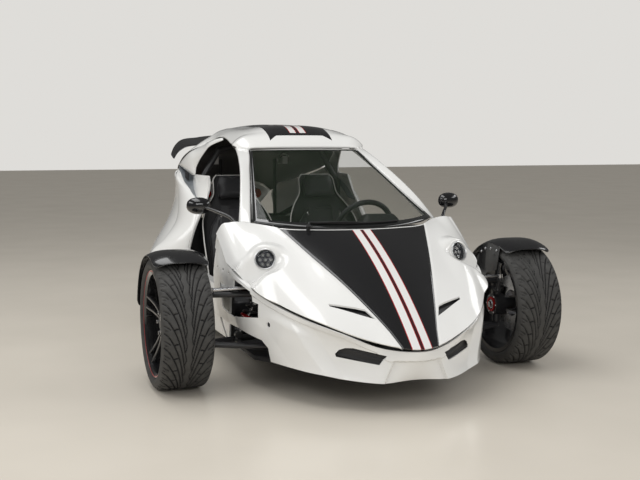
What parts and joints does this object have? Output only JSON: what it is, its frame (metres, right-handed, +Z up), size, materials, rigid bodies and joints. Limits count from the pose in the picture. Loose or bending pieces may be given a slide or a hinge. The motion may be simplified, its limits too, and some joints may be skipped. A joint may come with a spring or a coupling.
{
  "type": "three wheeled car",
  "caption": "Low open sided two seat car with two steered front wheels under cycle mudguards, one driven rear wheel, a white body with a black hood, and a rear wing.",
  "frame": {"origin": "centre of the whole car's outline, on the ground under it", "axes": "+X to the car's left, +Y to its rear, +Z up"},
  "size_m": [2.076, 3.59, 1.2733],
  "materials": {
    "body_white": "gloss",
    "body_black": "gloss",
    "trim_black": "matte",
    "guard_black": "gloss",
    "frame_black": "satin",
    "rim_black": "gloss",
    "tyre": "matte",
    "disc_steel": "brushed",
    "cast_metal": "cast",
    "bright_steel": "polished",
    "engine_grey": "cast",
    "screen": "tinted clear",
    "lamp_glass": "clear",
    "lamp_red": "gloss",
    "seat_fabric": "matte",
    "webbing": "woven"
  },
  "bodies": {
    "chassis": {"rear_mudguard": "guard_black", "wishbones": "frame_black", "front_coilovers": "frame_black", "steering_column": "cast_metal", "hood": "body_black", "front_wings": "body_white", "headlamp_bowls": "bright_steel", "headlamp_covers": "lamp_glass", "nose": "body_white", "windscreen": "screen", "canopy": "body_white", "rear_deck": "body_white", "side_pods": "body_white", "side_sills": "body_white", "cabin_tub": "trim_black", "dashboard": "trim_black", "seat_shells": "trim_black", "seat_pads": "seat_fabric", "roll_frame": "frame_black", "front_frame": "frame_black", "engine_block": "engine_grey", "final_drive": "bright_steel", "swing_arm": "frame_black", "rear_shock": "frame_black", "rear_wing": "body_black", "door_mirrors": "body_black", "wiper": "trim_black", "seat_belts": "webbing", "tail_lamps": "lamp_red", "exhaust": "disc_steel"},
    "knuckle_left": {"upright_left": "cast_metal", "mudguard_left": "guard_black"},
    "knuckle_right": {"upright_right": "cast_metal", "mudguard_right": "guard_black"},
    "wheel_front_left": {"tyre_front_left": "tyre", "rim_front_left": "rim_black", "disc_front_left": "disc_steel"},
    "wheel_front_right": {"tyre_front_right": "tyre", "rim_front_right": "rim_black", "disc_front_right": "disc_steel"},
    "wheel_rear": {"tyre_rear": "tyre", "rim_rear": "rim_black", "rear_disc_and_sprocket": "disc_steel"},
    "steering_wheel": {"steering_wheel": "trim_black"},
    "steering_rack": {"steering_rack": "bright_steel"}
  },
  "joints": [
    {"name": "steer_left", "type": "hinge", "parent": "chassis", "child": "knuckle_left", "pos_m": [0.812, -0.965, 0.205], "axis": [0, 0, 1], "range_deg": [-20, 20]},
    {"name": "steer_right", "type": "hinge", "parent": "chassis", "child": "knuckle_right", "pos_m": [-0.812, -0.965, 0.205], "axis": [0, 0, 1], "range_deg": [-20, 20]},
    {"name": "steering_wheel_turn", "type": "hinge", "parent": "chassis", "child": "steering_wheel", "pos_m": [0.27, -0.415, 0.69], "axis": [0, 0.9063, 0.4226], "range_deg": [-240, 240]},
    {"name": "rack_slide", "type": "slide", "parent": "chassis", "child": "steering_rack", "axis": [1, 0, 0], "range_m": [-0.041, 0.041]},
    {"name": "front_left_spin", "type": "hinge", "parent": "knuckle_left", "child": "wheel_front_left", "pos_m": [0.906, -0.965, 0.315], "axis": [1, 0, 0], "continuous": true},
    {"name": "front_right_spin", "type": "hinge", "parent": "knuckle_right", "child": "wheel_front_right", "pos_m": [-0.906, -0.965, 0.315], "axis": [1, 0, 0], "continuous": true},
    {"name": "rear_spin", "type": "hinge", "parent": "chassis", "child": "wheel_rear", "pos_m": [0, 1.435, 0.332], "axis": [1, 0, 0], "continuous": true}
  ],
  "couplings": [
    {"joint": "steer_right", "follows": "steer_left", "ratio": 1},
    {"joint": "steering_wheel_turn", "follows": "steer_left", "ratio": 12},
    {"joint": "rack_slide", "follows": "steer_left", "m_per_rad": 0.11562}
  ]
}
